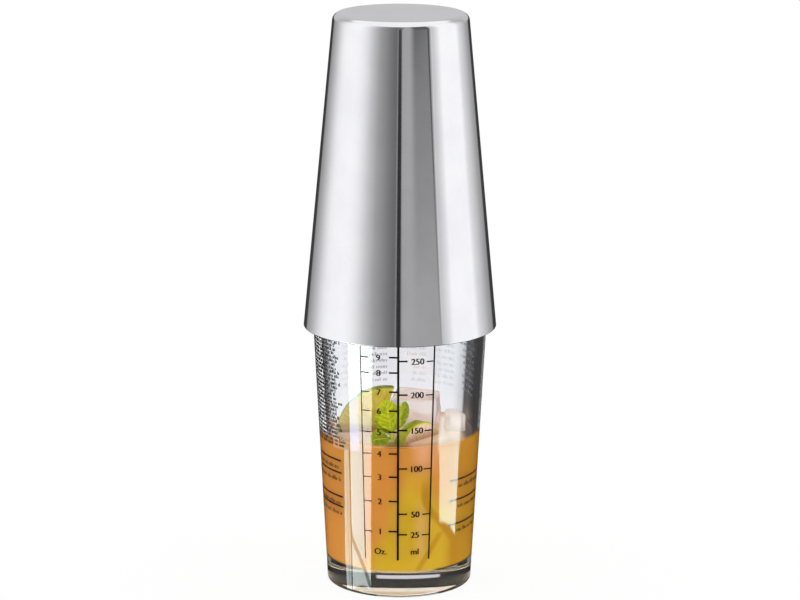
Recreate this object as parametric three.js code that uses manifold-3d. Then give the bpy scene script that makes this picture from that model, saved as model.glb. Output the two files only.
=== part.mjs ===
// Boston shaker: a tapered mixing glass, a steel tin turned over its mouth, and an iced drink
// with lime and mint in the glass. Millimetres, +Z up, the glass stands on z = 0 around the Z axis.
// The front of the shaker looks towards -Y.
import * as THREE from "three";
import { RoundedBoxGeometry } from "three/addons/geometries/RoundedBoxGeometry.js";
import { mergeVertices } from "three/addons/utils/BufferGeometryUtils.js";
import Module from "manifold-3d";

const wasm = await Module();
wasm.setup();

// Mixing glass. A flare is the radius gained for each millimetre of height.
const GLASS_BASE_RADIUS = 30.5;
const GLASS_HEIGHT = 133;
const GLASS_FLARE = 0.0541;
const GLASS_WALL = 3;
const GLASS_FLOOR = 10.4;
const GLASS_HEEL_FILLET = 1.2;
const GLASS_RIM_FILLET = 1.2;
const GLASS_FLOOR_FILLET = 2;
const FOOT_RING_WIDTH = 5;
const PUNT_DEPTH = 0.8;
const PUNT_STEPS = 6;

// Shaker tin. Its mouth hangs below the rim of the glass by the seat depth.
const TIN_HEIGHT = 132.2;
const TIN_TAPER = 0.0939;
const TIN_WALL = 0.7;
const TIN_SHOULDER_FILLET = 3.2;
const TIN_LIP_FILLET = 0.3;
const SEAT_DEPTH = 21.9;
const SEAT_CLEARANCE = 0.15;

// Drink
const DRINK_LEVEL = 66;
const DRINK_CLEARANCE = 0.3;

// Ice: edges along X, Y and Z, how far the top stands out of the drink, and the turn about Z.
// The small cube floats midway between the large one and the right of the wall.
const ICE_CORNER_FILLET = 2.5;
const LARGE_ICE = { edges: [21, 20, 27], centre: [7, 9], freeboard: 13.5, turn: -10 };
const SMALL_ICE = { edges: [9.5, 11, 14], y: 0, freeboard: 8, turn: 8 };

// Lime. The half slice stands at the left, in front of the large ice cube. Its cut lies at a distance
// to the right of its middle, and leans to the right by degrees.
// The wheel stands at the front, its near edge by the wall.
const LIME_EDGE_FILLET = 0.6;
const HALF_SLICE_RADIUS = 20.6;
const HALF_SLICE_THICKNESS = 4.5;
const HALF_SLICE_FREEBOARD = 19.8;
const HALF_SLICE_WALL_GAP = 3.7;
const HALF_SLICE_ICE_GAP = 0.3;
const HALF_SLICE_LEAF_GAP = 1.99922;
const HALF_SLICE_CUT = -2.2;
const HALF_SLICE_LEAN = 16;
const WHEEL_RADIUS = 13.5;
const WHEEL_THICKNESS = 5;
const WHEEL_FREEBOARD = 7.6;
const WHEEL_WALL_GAP = 1.3;
const WHEEL_TURN = 50;
const WHEEL_NEAR_ANGLE = -93.5;

// Mint: a stem standing in the drink, and leaves that start beside it.
// A place is [X, distance from the front of the wall, height above the drink].
const STEM_RADIUS = 1;
const STEM_FOOT = [-1.2, 14.6, -16];
const STEM_BEND = [-2.6, 10.9, -5];
const STEM_TOP = [-3.2, 9.7, 4];
const STEM_SIDES = 8;
const STEM_STEPS = 6;
const LEAF_THICKNESS = 0.6;
const LEAF_STALK_LENGTH = 2;
const LEAF_STALK_WIDTH = 0.9;
const LEAF_STEM_GAP = 0.3;
// Curve handles of a leaf's edge, as shares of its half width and of its length
const LEAF_LOW_HANDLE = [1.35, 0.3];
const LEAF_HIGH_HANDLE = [1.2, 0.75];
// A leaf joins the stem at a share of its route, on the side given in degrees.
// The tip of the fourth leaf is placed by its gap to the half slice behind it.
const LEAVES = [
  { name: "mint_leaf_1", joint: 0.97, side: 200, tip: [-6, 10.9, 17.6], width: 9, facing: [0.25, -1, 0.2] },
  { name: "mint_leaf_2", joint: 0.97, side: 20, tip: [2.8, 13.5, 16.3], width: 7, facing: [0.75, -0.65, 0.1] },
  { name: "mint_leaf_3", joint: 0.86, side: 245, tip: [-12, 6.7, 3.4], width: 6.5, facing: [0, -0.5, 0.85] },
  {
    name: "mint_leaf_4",
    joint: 0.9,
    side: 100,
    tip: [-8.4, HALF_SLICE_LEAF_GAP, 9.5],
    bySlice: true,
    width: 7.5,
    facing: [0, -0.6, 0.8],
  },
];

// Facets
const TURN_STEPS = 72;
const LIME_STEPS = 40;
const ARC_STEPS = 4;
const ICE_STEPS = 2;
const LEAF_STEPS = 6;

// Finishes
const finish = (color, roughness, metalness = 0, opacity = 1) =>
  new THREE.MeshStandardMaterial({ color, roughness, metalness, opacity, transparent: opacity < 1 });
const clearGlass = () => finish(0xeef4f4, 0.05, 0, 0.35);
const polishedSteel = () => finish(0xc9cacc, 0.15, 1);
const amberDrink = () => finish(0xcf8f3a, 0.1, 0, 0.85);
const clearIce = () => finish(0xe6ecee, 0.15, 0, 0.5);
const limeFlesh = () => finish(0xa9b53c, 0.4);
const mintGreen = () => finish(0x7fa51e, 0.55);

// Radius of the glass at a height, outside and inside
const glassOutside = (height) => GLASS_BASE_RADIUS + GLASS_FLARE * height;
const glassInside = (height) => glassOutside(height) - GLASS_WALL;

// Points of an outline whose corners are [radius, height] or [radius, height, fillet].
// A fillet takes up no more than half of the shorter side next to it.
function outline(corners) {
  const points = [];
  corners.forEach(([radius, height, fillet], index) => {
    const corner = new THREE.Vector2(radius, height);
    if (!fillet) {
      points.push(corner);
      return;
    }
    const [before, after] = [corners[index - 1], corners[index + 1]].map(
      ([r, h]) => new THREE.Vector2(r, h).sub(corner),
    );
    const shorter = Math.min(before.length(), after.length());
    before.normalize();
    after.normalize();
    const half = Math.acos(before.dot(after)) / 2;
    const reach = Math.min(fillet / Math.tan(half), shorter / 2);
    const middle = before.clone().add(after).normalize();
    const centre = corner.clone().addScaledVector(middle, reach / Math.cos(half));
    const sweep = Math.sign(after.cross(before)) * (Math.PI - 2 * half);
    for (let step = 0; step <= ARC_STEPS; step++) {
      const start = corner.clone().addScaledVector(before, reach);
      points.push(start.rotateAround(centre, (sweep * step) / ARC_STEPS));
    }
  });
  return points;
}

// A piece turned about the Z axis
const turned = (corners, steps = TURN_STEPS) =>
  new THREE.LatheGeometry(outline(corners), steps).rotateX(Math.PI / 2);

// A named mesh at a place, turned about Z by degrees
function piece(name, geometry, material, place = [0, 0, 0], turn = 0) {
  const mesh = new THREE.Mesh(geometry, material);
  mesh.name = name;
  mesh.position.set(...place);
  mesh.rotation.z = THREE.MathUtils.degToRad(turn);
  return mesh;
}

// The closed solid of a mesh, in the frame of the shaker
function solidOf(mesh) {
  mesh.updateMatrixWorld(true);
  const bare = new THREE.BufferGeometry();
  bare.setAttribute("position", mesh.geometry.getAttribute("position").clone());
  bare.setIndex(mesh.geometry.getIndex());
  const merged = mergeVertices(bare.applyMatrix4(mesh.matrixWorld));
  const index = merged.getIndex().array;
  const triangles = [];
  for (let i = 0; i < index.length; i += 3) {
    const [a, b, c] = index.subarray(i, i + 3);
    if (a !== b && b !== c && c !== a) {
      triangles.push(a, b, c);
    }
  }
  return new wasm.Manifold(
    new wasm.Mesh({
      numProp: 3,
      vertProperties: new Float32Array(merged.getAttribute("position").array),
      triVerts: new Uint32Array(triangles),
    }),
  );
}

// The geometry of a solid
function geometryOf(solid) {
  const mesh = solid.getMesh();
  const geometry = new THREE.BufferGeometry();
  geometry.setAttribute("position", new THREE.BufferAttribute(mesh.vertProperties, 3));
  geometry.setIndex(new THREE.BufferAttribute(mesh.triVerts, 1));
  return geometry;
}

// Outline of a shallow dome, from its top on the axis down to its radius
function dome(radius, depth, steps) {
  const sphere = (radius ** 2 + depth ** 2) / (2 * depth);
  const reach = Math.asin(radius / sphere);
  return Array.from({ length: steps + 1 }, (_, step) => {
    const angle = (reach * step) / steps;
    return [sphere * Math.sin(angle), depth - sphere * (1 - Math.cos(angle))];
  });
}

// Mixing glass: foot ring around a domed punt, thick floor, tapered wall and rounded rim
function mixingGlass() {
  const rim = glassOutside(GLASS_HEIGHT);
  const foot = GLASS_BASE_RADIUS - GLASS_HEEL_FILLET - FOOT_RING_WIDTH;
  return turned([
    ...dome(foot, PUNT_DEPTH, PUNT_STEPS),
    [GLASS_BASE_RADIUS, 0, GLASS_HEEL_FILLET],
    [rim, GLASS_HEIGHT, GLASS_RIM_FILLET],
    [rim - GLASS_WALL, GLASS_HEIGHT, GLASS_RIM_FILLET],
    [glassInside(GLASS_FLOOR), GLASS_FLOOR, GLASS_FLOOR_FILLET],
    [0, GLASS_FLOOR],
  ]);
}

// Shaker tin, mouth down at z = 0: its wall meets the rim of the glass at the seat depth
function shakerTin() {
  const bore = glassOutside(GLASS_HEIGHT) + SEAT_CLEARANCE + TIN_TAPER * SEAT_DEPTH;
  const mouth = bore + TIN_WALL;
  const ceiling = TIN_HEIGHT - TIN_WALL;
  return turned([
    [0, ceiling],
    [bore - TIN_TAPER * ceiling, ceiling, TIN_SHOULDER_FILLET - TIN_WALL],
    [bore, 0, TIN_LIP_FILLET],
    [mouth, 0, TIN_LIP_FILLET],
    [mouth - TIN_TAPER * TIN_HEIGHT, TIN_HEIGHT, TIN_SHOULDER_FILLET],
    [0, TIN_HEIGHT],
  ]);
}

// The large ice cube's nearest point to the front, with the half slice before it,
// and its right side beside the small cube
const [largeIceWidth, largeIceDepth] = LARGE_ICE.edges;
const largeIceTurn = THREE.MathUtils.degToRad(LARGE_ICE.turn);
const largeIceReach =
  (largeIceDepth * Math.cos(largeIceTurn) + largeIceWidth * Math.abs(Math.sin(largeIceTurn))) / 2;
const largeIceFront = LARGE_ICE.centre[1] - largeIceReach;
const largeIceRight =
  LARGE_ICE.centre[0] +
  largeIceWidth / 2 / Math.cos(largeIceTurn) -
  (SMALL_ICE.y - LARGE_ICE.centre[1]) * Math.tan(largeIceTurn);
const smallIceCentre = [(largeIceRight + glassInside(DRINK_LEVEL)) / 2, SMALL_ICE.y];
const halfSliceMiddle = largeIceFront - HALF_SLICE_ICE_GAP - HALF_SLICE_THICKNESS / 2;
const halfSliceFront = halfSliceMiddle - HALF_SLICE_THICKNESS / 2;

// Ice cube with melted corners
function iceCube({ edges, freeboard, turn }, centre, grow) {
  const [width, depth, height] = edges.map((edge) => edge + 2 * grow);
  const place = [...centre, DRINK_LEVEL + freeboard - edges[2] / 2];
  const block = new RoundedBoxGeometry(width, depth, height, ICE_STEPS, ICE_CORNER_FILLET + grow);
  return { geometry: block, place, turn };
}

// Half slice of lime, upright across the glass in front of the large ice cube
function halfSlice(grow) {
  const height = DRINK_LEVEL + HALF_SLICE_FREEBOARD - HALF_SLICE_RADIUS;
  const wall = Math.sqrt((glassInside(height) - HALF_SLICE_WALL_GAP) ** 2 - halfSliceFront ** 2);
  const centre = HALF_SLICE_RADIUS - wall;
  const radius = HALF_SLICE_RADIUS + grow - LIME_EDGE_FILLET;
  const chord = HALF_SLICE_CUT + grow - LIME_EDGE_FILLET;
  const corner = Math.acos(chord / radius);
  const disc = new THREE.Shape().absarc(0, 0, radius, corner, 2 * Math.PI - corner);
  const depthBetween = HALF_SLICE_THICKNESS + 2 * (grow - LIME_EDGE_FILLET);
  const slab = new THREE.ExtrudeGeometry(disc, {
    depth: depthBetween,
    curveSegments: LIME_STEPS / 2,
    bevelThickness: LIME_EDGE_FILLET,
    bevelSize: LIME_EDGE_FILLET,
    bevelSegments: 1,
  });
  slab.translate(0, 0, -depthBetween / 2);
  slab.rotateZ(-THREE.MathUtils.degToRad(HALF_SLICE_LEAN)).rotateX(Math.PI / 2);
  return { geometry: slab, place: [centre, halfSliceMiddle, height], turn: 0 };
}

// Wheel of lime, upright and turned, with its near edge by the front wall
function limeWheel(grow) {
  const height = DRINK_LEVEL + WHEEL_FREEBOARD - WHEEL_RADIUS;
  const radius = WHEEL_RADIUS + grow;
  const half = WHEEL_THICKNESS / 2 + grow;
  const wheel = turned(
    [
      [0, -half],
      [radius, -half, LIME_EDGE_FILLET],
      [radius, half, LIME_EDGE_FILLET],
      [0, half],
    ],
    LIME_STEPS,
  ).rotateX(Math.PI / 2);
  const near = THREE.MathUtils.degToRad(WHEEL_NEAR_ANGLE);
  const turn = THREE.MathUtils.degToRad(WHEEL_TURN);
  const reach = glassInside(height) - WHEEL_WALL_GAP - WHEEL_THICKNESS / 2;
  const x = reach * Math.cos(near) + WHEEL_RADIUS * Math.cos(turn);
  const y = reach * Math.sin(near) + WHEEL_RADIUS * Math.sin(turn);
  return { geometry: wheel, place: [x, y, height], turn: WHEEL_TURN };
}

// Mint stem, a bent round stalk
const mintPlace = ([x, fromWall, height]) =>
  new THREE.Vector3(x, fromWall - glassInside(DRINK_LEVEL), DRINK_LEVEL + height);
const slicePlace = ([x, gap, height]) => new THREE.Vector3(x, halfSliceFront - gap, DRINK_LEVEL + height);
const stemRoute = new THREE.CatmullRomCurve3([STEM_FOOT, STEM_BEND, STEM_TOP].map(mintPlace));

function mintStem(grow) {
  const section = new THREE.Shape();
  for (let side = 0; side < STEM_SIDES; side++) {
    const angle = (2 * Math.PI * side) / STEM_SIDES;
    const corner = [(STEM_RADIUS + grow) * Math.cos(angle), (STEM_RADIUS + grow) * Math.sin(angle)];
    section[side === 0 ? "moveTo" : "lineTo"](...corner);
  }
  section.closePath();
  const stalk = new THREE.ExtrudeGeometry(section, { steps: STEM_STEPS, extrudePath: stemRoute });
  return { geometry: stalk, place: [0, 0, 0], turn: 0 };
}

// Mint leaf on a short stalk, from the side of the stem to its tip, its upper side facing a direction
function mintLeaf({ joint, side, tip, bySlice, width, facing }) {
  const clear = STEM_RADIUS + LEAF_STEM_GAP + LEAF_THICKNESS / 2;
  const angle = THREE.MathUtils.degToRad(side);
  const foot = stemRoute.getPoint(joint);
  foot.add(new THREE.Vector3(clear * Math.cos(angle), clear * Math.sin(angle), 0));
  const along = (bySlice ? slicePlace : mintPlace)(tip).sub(foot);
  const length = along.length();
  along.normalize();
  const across = along.clone().cross(new THREE.Vector3(...facing)).normalize();
  const stalk = LEAF_STALK_WIDTH / 2;
  const handle = ([wide, far], sign) => [(sign * wide * width) / 2, far * length];
  const low = (sign) => handle(LEAF_LOW_HANDLE, sign);
  const high = (sign) => handle(LEAF_HIGH_HANDLE, sign);
  const blade = new THREE.Shape();
  blade.moveTo(-stalk, 0);
  blade.lineTo(stalk, 0);
  blade.lineTo(stalk, LEAF_STALK_LENGTH);
  blade.bezierCurveTo(...low(1), ...high(1), 0, length);
  blade.bezierCurveTo(...high(-1), ...low(-1), -stalk, LEAF_STALK_LENGTH);
  const plate = new THREE.ExtrudeGeometry(blade, {
    depth: LEAF_THICKNESS,
    curveSegments: LEAF_STEPS,
    bevelEnabled: false,
  });
  plate.translate(0, 0, -LEAF_THICKNESS / 2);
  plate.applyMatrix4(new THREE.Matrix4().makeBasis(across, along, across.clone().cross(along)));
  return { geometry: plate, place: foot.toArray(), turn: 0 };
}

// Drink: fills the glass to its level, with a pocket for each piece that dips into it
function drink(dipping) {
  const floor = GLASS_FLOOR + DRINK_CLEARANCE;
  const side = (height) => glassInside(height) - DRINK_CLEARANCE;
  const fill = turned([
    [0, floor],
    [side(floor), floor, GLASS_FLOOR_FILLET - DRINK_CLEARANCE],
    [side(DRINK_LEVEL), DRINK_LEVEL],
    [0, DRINK_LEVEL],
  ]);
  let body = solidOf(new THREE.Mesh(fill));
  for (const shape of dipping) {
    const { geometry, place, turn } = shape(DRINK_CLEARANCE);
    body = body.subtract(solidOf(piece("pocket", geometry, undefined, place, turn)));
  }
  return geometryOf(body);
}

// Assembly
const floating = [
  { name: "ice_cube_large", shape: (grow) => iceCube(LARGE_ICE, LARGE_ICE.centre, grow), material: clearIce },
  { name: "ice_cube_small", shape: (grow) => iceCube(SMALL_ICE, smallIceCentre, grow), material: clearIce },
  { name: "lime_half_slice", shape: halfSlice, material: limeFlesh },
  { name: "lime_wheel", shape: limeWheel, material: limeFlesh },
  { name: "mint_stem", shape: mintStem, material: mintGreen },
];

const filledGlass = new THREE.Group();
filledGlass.add(piece("mixing_glass", mixingGlass(), clearGlass()));
filledGlass.add(piece("drink", drink(floating.map(({ shape }) => shape)), amberDrink()));
for (const { name, shape, material } of floating) {
  const { geometry, place, turn } = shape(0);
  filledGlass.add(piece(name, geometry, material(), place, turn));
}
for (const leaf of LEAVES) {
  const { geometry, place, turn } = mintLeaf(leaf);
  filledGlass.add(piece(leaf.name, geometry, mintGreen(), place, turn));
}

const tin = new THREE.Group();
tin.position.z = GLASS_HEIGHT - SEAT_DEPTH;
tin.add(piece("shaker_tin", shakerTin(), polishedSteel()));

const shaker = new THREE.Group();
shaker.add(filledGlass, tin);

export default shaker;
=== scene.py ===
"""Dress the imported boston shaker: a mixing glass of iced drink under a polished steel tin."""
import math
import random
from contextlib import contextmanager

import bmesh
import bpy
from mathutils import Matrix, Vector, noise


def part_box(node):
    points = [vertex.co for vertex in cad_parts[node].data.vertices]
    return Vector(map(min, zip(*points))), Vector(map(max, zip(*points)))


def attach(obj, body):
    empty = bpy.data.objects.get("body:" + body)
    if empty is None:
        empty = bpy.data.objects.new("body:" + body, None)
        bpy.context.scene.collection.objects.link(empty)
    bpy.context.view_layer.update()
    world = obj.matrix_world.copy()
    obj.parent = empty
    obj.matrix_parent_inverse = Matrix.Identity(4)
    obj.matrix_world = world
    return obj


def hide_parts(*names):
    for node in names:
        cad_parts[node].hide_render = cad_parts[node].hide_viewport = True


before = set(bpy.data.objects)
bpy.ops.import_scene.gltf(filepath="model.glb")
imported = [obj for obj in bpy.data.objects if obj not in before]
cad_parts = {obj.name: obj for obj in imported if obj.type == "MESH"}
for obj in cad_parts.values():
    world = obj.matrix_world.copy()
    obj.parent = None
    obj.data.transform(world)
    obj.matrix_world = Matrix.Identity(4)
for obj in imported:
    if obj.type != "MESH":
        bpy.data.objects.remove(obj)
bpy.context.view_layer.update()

bl_info = {
    "name": "Boston Shaker",
    "version": (1, 0, 0),
    "blender": (4, 5, 0),
    "location": "View3D > Sidebar > Shaker",
    "description": "Models a boston shaker with its drink, ice, lime and mint around a packed frame",
    "category": "Add Mesh",
}

MM = 0.001

GLASS_BODY = "filled_glass"
TIN_BODY = "tin"

GLASS_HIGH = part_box("mixing_glass")[1]
TIN_LOW, TIN_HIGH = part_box("shaker_tin")
DRINK_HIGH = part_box("drink")[1]
LARGE_ICE_LOW, LARGE_ICE_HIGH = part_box("ice_cube_large")
SMALL_ICE_LOW, SMALL_ICE_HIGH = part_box("ice_cube_small")
HALF_SLICE_LOW, HALF_SLICE_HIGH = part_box("lime_half_slice")
WHEEL_LOW, WHEEL_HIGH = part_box("lime_wheel")

# How finely shapes are cut.
TURN_STEPS = 160
FILLET_STEPS = 6
DOME_STEPS = 12
ICE_EDGE_STEPS = 3
ICE_CUTS = 4
LIME_SIDES = 60
LIME_EDGE_STEPS = 2
LEAF_ROWS = 54
LEAF_COLUMNS = 18
STEM_SIDES = 16
STEM_STEPS = 24
BAR_STEPS = 6
RULE_STEPS = 3
MERGE_DISTANCE = 0.002 * MM

# Sharp edges stay sharp in the shading from these angles on.
SMOOTH_ANGLE = math.radians(32)
FRUIT_SMOOTH_ANGLE = math.radians(50)
LEAF_SMOOTH_ANGLE = math.radians(60)

SENSOR_WIDTH = 36
UPRIGHT = (math.radians(90), 0, 0)

# The glass wall from the foot to the rim, seen as a radius at a height.
GLASS_BASE_RADIUS = 30.5 * MM
GLASS_FLARE = (GLASS_HIGH.x - GLASS_BASE_RADIUS) / GLASS_HIGH.z

# The drink's raised edge, as shares of its height: how far in and up its steep part reaches,
# and how far in it ends.
MENISCUS_STEEP_IN = 0.35
MENISCUS_STEEP_UP = 0.25
MENISCUS_END_IN = 1.3

# Turns of the pieces in the drink, about the upright axis, and where each block's melt noise starts.
LARGE_ICE_TURN = math.radians(-10)
SMALL_ICE_TURN = math.radians(8)
WHEEL_TURN = math.radians(50)
LARGE_ICE_SEED = 3.0
SMALL_ICE_SEED = 11.0
MELT_SCALE = 90
MELT_FINE = 2.3

# The half slice's cut: how far to the right of the slice's middle it lies,
# and how far it leans to the right.
HALF_SLICE_CUT = -2.2 * MM
HALF_SLICE_LEAN = math.radians(16)

# Lime faces: rounded edge, sunken flesh, and what tells faces and edges of a slice apart.
LIME_EDGE = 0.5 * MM
FLESH_SINK = 0.3 * MM
FACE_ON = 0.9
FLESH_SHARE = 0.8
NEARLY_HALF = 0.49
EDGE_SLACK = 0.01 * MM

# The mint stem's route and, for each leaf, where it leaves the stem and where its tip is.
STEM_ROUTE = (
    Vector((-1.2, -16.47, 50)) * MM,
    Vector((-2.6, -20.17, 61)) * MM,
    Vector((-3.2, -21.37, 70)) * MM,
)
LEAVES = (
    # piece, share of the route, tip, width, facing
    ("mint_leaf_1", 0.97, Vector((-6, -20.17, 83.6)) * MM, 9 * MM, Vector((0.25, -1, 0.2))),
    ("mint_leaf_2", 0.97, Vector((2.8, -17.57, 82.3)) * MM, 7 * MM, Vector((0.75, -0.65, 0.1))),
    ("mint_leaf_3", 0.86, Vector((-11.5, -25.9, 67.8)) * MM, 7.5 * MM, Vector((0, -0.8, 0.6))),
    ("mint_leaf_4", 0.9, Vector((-8.4, -9.47, 75.5)) * MM, 7.5 * MM, Vector((0, -0.6, 0.8))),
)
STEM_TAPER = (0.95, 0.95, 1)
STEM_TAPER_EVERY = 6

# A leaf's veins and teeth, the half width of its foot, and how strongly it is toothed, folded and curled.
LEAF_VEINS = 7
LEAF_VEIN_RISE = 1.6
LEAF_TEETH = 9
LEAF_FOOT = 0.45 * MM
LEAF_TOOTH = 0.3
LEAF_FOLD = 0.22
LEAF_CURL = 0.16

# The measuring scale: upright lines by angle from the front, marks by height in millimetres.
LEFT_LINE = math.radians(-26.7)
CENTRE_LINE = math.radians(-1)
RIGHT_LINE = math.radians(23.2)
OUNCE_COLUMN = math.radians(-14.3)
MILLILITRE_COLUMN = math.radians(11.9)
OUNCE_HEIGHTS = {9: 105.7, 8: 99.1, 7: 90.8, 6: 82.6, 5: 73.4, 4: 63.9, 3: 53.7, 2: 43.0, 1: 29.7}
MILLILITRE_HEIGHTS = {250: 104.1, 200: 89.6, 150: 74.2, 100: 57.4, 50: 37.4, 25: 28.3}
UNIT_HEIGHT = 20.5
LINE_FOOT = 16.9
LINE_TOP = 121

# How thick its marks are, in millimetres, from the left line to the right one.
# Those of the left line are also a little longer.
LEFT_TICK = 0.45
OUNCE_TICK = 0.75
MILLILITRE_TICK = 0.7
RIGHT_TICK = 0.55
LEFT_TICK_STRETCH = 1.05

# A print's solid: its thickness by the ink's, and how far it is shifted out of the wall.
INK_SOLID = 1.4
INK_OFFSET = 0.4

# Short strokes in groups like words, in millimetres.
STROKE_SEED = 4
WORD_LENGTHS = (3, 7)
STROKE_HEIGHTS = (0.65, 0.65, 0.7, 1.0)
STROKE_SPACING = (0.55, 0.85)
WORD_GAP = 0.8
STROKE_WIDTH = 0.34
ROW_STROKE_WIDTH = 0.45
RULED_STROKE = 1.8
ROW_STROKE = 1.5

# Rules and rows beside the scale, and worn columns on the far side: left and right end, stroke width.
LEFT_RULES_TURN = math.radians(-62)
RIGHT_RULES_TURN = math.radians(56)
BACK_ROWS_TURN = math.radians(180)
LEFT_RULES = (57.3, 51.9, 41.4, 37.0)
RIGHT_RULES = (49.3, 40.4, 29.7)
RULE_THICKNESS = 0.75
RULE_TO_WORDS = 3.4
LEFT_RULE_ENDS = (-22, 9)
LEFT_WORD_ENDS = (-20, 8)
RIGHT_RULE_ENDS = (-9, 17)
RIGHT_WORD_ENDS = (-4, 14)
LEFT_ROW_START = -20
LEFT_ROW_END_RANGE = (7, 12)
LEFT_ROW_HEIGHTS = [64 + row * 1.65 for row in range(28)]
BACK_ROW_END_RANGE = (-3, 1)
BACK_ROW_HEIGHTS = [78 + row * 2.8 for row in range(12)]
BACK_COLUMNS = (
    (-50, -33, 0.4), (-28, -16, 0.1), (-12, -4, 0.12), (6, 15, 0.3), (20, 32, 0.1), (36, 50, 0.4),
)

# The studio around the object: brightness by azimuth in degrees, 0 at the camera, right positive.
STUDIO_STOPS = (
    (-180, 0.05), (-150, 0.05), (-146, 0.34), (-137, 0.43), (-124, 0.64), (-114, 0.88),
    (-105, 1.06), (-96, 1.13), (-75, 1.17), (-68, 1.14), (-62, 1.08), (-56, 0.98), (-50, 0.83),
    (-44, 0.67), (-38, 0.54), (-33, 0.43), (-27, 0.36), (-16, 0.24), (-8, 0.18), (0.8, 0.18),
    (2, 0.44), (10, 0.46), (48.8, 0.43), (50.2, 0.78), (53, 0.7), (61, 0.93), (67, 1.17),
    (103, 1.17), (111, 0.88), (135, 0.44), (146, 0.34), (150, 0.05),
)
# What the low soft boxes add to red, green and blue: at the left, at the right, as a glare
# above the drink and as a cool part of the left one.
LOW_LEFT_TINT = (8.2, 9.5, 9.2)
LOW_RIGHT_TINT = (6.7, 9.2, 8.9)
GLARE_TINT = (2, 3, 8)
COOL_TINT = (-1.4, 0.8, 2.6)
# Light that reaches what is in the glass, from the level and from above.
INSIDE_LIGHT = 1.6
INSIDE_LIGHT_ABOVE = 4.4


def linear(code):
    """Turn a hex colour, as seen on a screen, into a linear one."""
    shares = [int(code[i:i + 2], 16) / 255 for i in (0, 2, 4)]
    values = [share / 12.92 if share <= 0.04045 else ((share + 0.055) / 1.055) ** 2.4 for share in shares]
    return (*values, 1.0)


def glass_radius(height):
    """Outer radius of the glass at a height."""
    return GLASS_BASE_RADIUS + GLASS_FLARE * height


# Settings

def length(name, description, millimetres):
    """A length that a user may change."""
    return bpy.props.FloatProperty(
        name=name, description=description, default=millimetres * MM, min=0, precision=5, unit="LENGTH")


def tint(name, description, code):
    """A colour that a user may change."""
    return bpy.props.FloatVectorProperty(
        name=name, description=description, default=linear(code), size=4, min=0, max=1, subtype="COLOR")


def share(name, description, default):
    """A plain number from 0 to 1 that a user may change."""
    return bpy.props.FloatProperty(
        name=name, description=description, default=default, min=0, max=1, subtype="FACTOR")


class ShakerStageSettings(bpy.types.PropertyGroup):
    """Camera and floor"""
    camera_place: bpy.props.FloatVectorProperty(
        name="Camera", description="Where the camera stands", default=(0, -1350 * MM, 443.3 * MM),
        size=3, subtype="TRANSLATION", unit="LENGTH")
    camera_pitch: bpy.props.FloatProperty(
        name="Pitch", description="How far the camera looks down", default=math.radians(13.407),
        subtype="ANGLE")
    camera_roll: bpy.props.FloatProperty(
        name="Roll", description="How far the camera leans to its left", default=math.radians(0.2),
        subtype="ANGLE")
    lens: bpy.props.FloatProperty(
        name="Lens", description="Focal length on a 36 mm sensor, in millimetres", default=148.5)
    floor_size: length("Floor", "Side of the floor", 8000)
    floor_colour: tint("Floor colour", "Pale floor that the object stands on", "f7f7f7")
    floor_glow: share("Floor glow", "Share of the floor's white that no shadow reaches", 0.9)


class ShakerGlassSettings(bpy.types.PropertyGroup):
    """Mixing glass"""
    wall: length("Wall", "Thickness of the wall", 3)
    floor: length("Floor", "Thickness of the heavy foot", 10.4)
    heel_fillet: length("Heel fillet", "Rounding of the heel", 1.2)
    rim_fillet: length("Rim fillet", "Rounding of the rim", 1.2)
    floor_fillet: length("Floor fillet", "Rounding inside the foot", 2)
    foot_ring: length("Foot ring", "Width of the ring it stands on", 5)
    punt_depth: length("Punt depth", "Height of the domed hollow under the foot", 0.8)
    colour: tint("Glass colour", "Faint tint of clear glass", "f9f9fc")


class ShakerTinSettings(bpy.types.PropertyGroup):
    """Steel tin"""
    top_radius: length("Top radius", "Radius of the closed end before rounding", 28.19)
    wall: length("Wall", "Thickness of the steel", 0.7)
    shoulder_fillet: length("Shoulder fillet", "Rounding of the closed end", 3.2)
    lip_fillet: length("Lip fillet", "Rounding of the mouth's edge", 0.3)
    colour: tint("Steel colour", "Polished stainless steel", "e7e7ea")
    roughness: share("Roughness", "Roughness of the polish", 0.045)


class ShakerDrinkSettings(bpy.types.PropertyGroup):
    """Mixed drink"""
    overlap: length("Overlap", "How far the drink wets into the wall, so that no air shows", 0.12)
    meniscus: length("Meniscus", "Height of the raised edge", 0.45)
    orange: tint("Orange", "Juice near the top and left", "cc8b3b")
    yellow: tint("Yellow", "Juice near the bottom", "c8a52a")
    amber: tint("Amber", "Darker juice at the right", "b27f1a")
    # Partly painted light: the top is paler than the juice, making up for light that the tin keeps off.
    surface: tint("Surface", "Pale juice between the ice", "f6cfae")
    # Painted reflection: the juice is paler and less red where the left soft box is reflected.
    streak: tint("Streak", "Paler juice at the left", "b39a5e")
    settled: tint("Settled", "Pale pulp on the floor of the glass", "d2b68c")
    settled_far: tint("Settled far", "Paler pulp at the back of the floor", "f4ead6")
    haze: tint("Haze", "Pale juice in front of the sunken ice", "e2ae84")
    # Painted shadow of the mint on the juice's top.
    shade: tint("Shade", "Dark juice under the mint", "8a5a18")
    # Painted shade and dark reflection on the juice's top by the right wall.
    rim_shade: tint("Rim shade", "Dark juice by the wall at the right", "4a3212")
    # Painted shade around the edge of the pulp, where less light gets in.
    settled_edge: tint("Settled edge", "Dark edge of the pulp on the floor of the glass", "3a3016")


class ShakerIceSettings(bpy.types.PropertyGroup):
    """Ice"""
    edge: length("Edge", "Rounding of melted edges", 2.2)
    melt: length("Melt", "Unevenness of melted faces", 0.9)
    clearness: share("Clearness", "Share of the light that passes straight through", 0.62)
    colour: tint("Ice colour", "Clear ice", "fff8f4")
    # Painted light: a faint glow in place of light that the ice gathers.
    glow: share("Glow", "Light that the clear ice passes on from all sides", 0.07)


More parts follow.
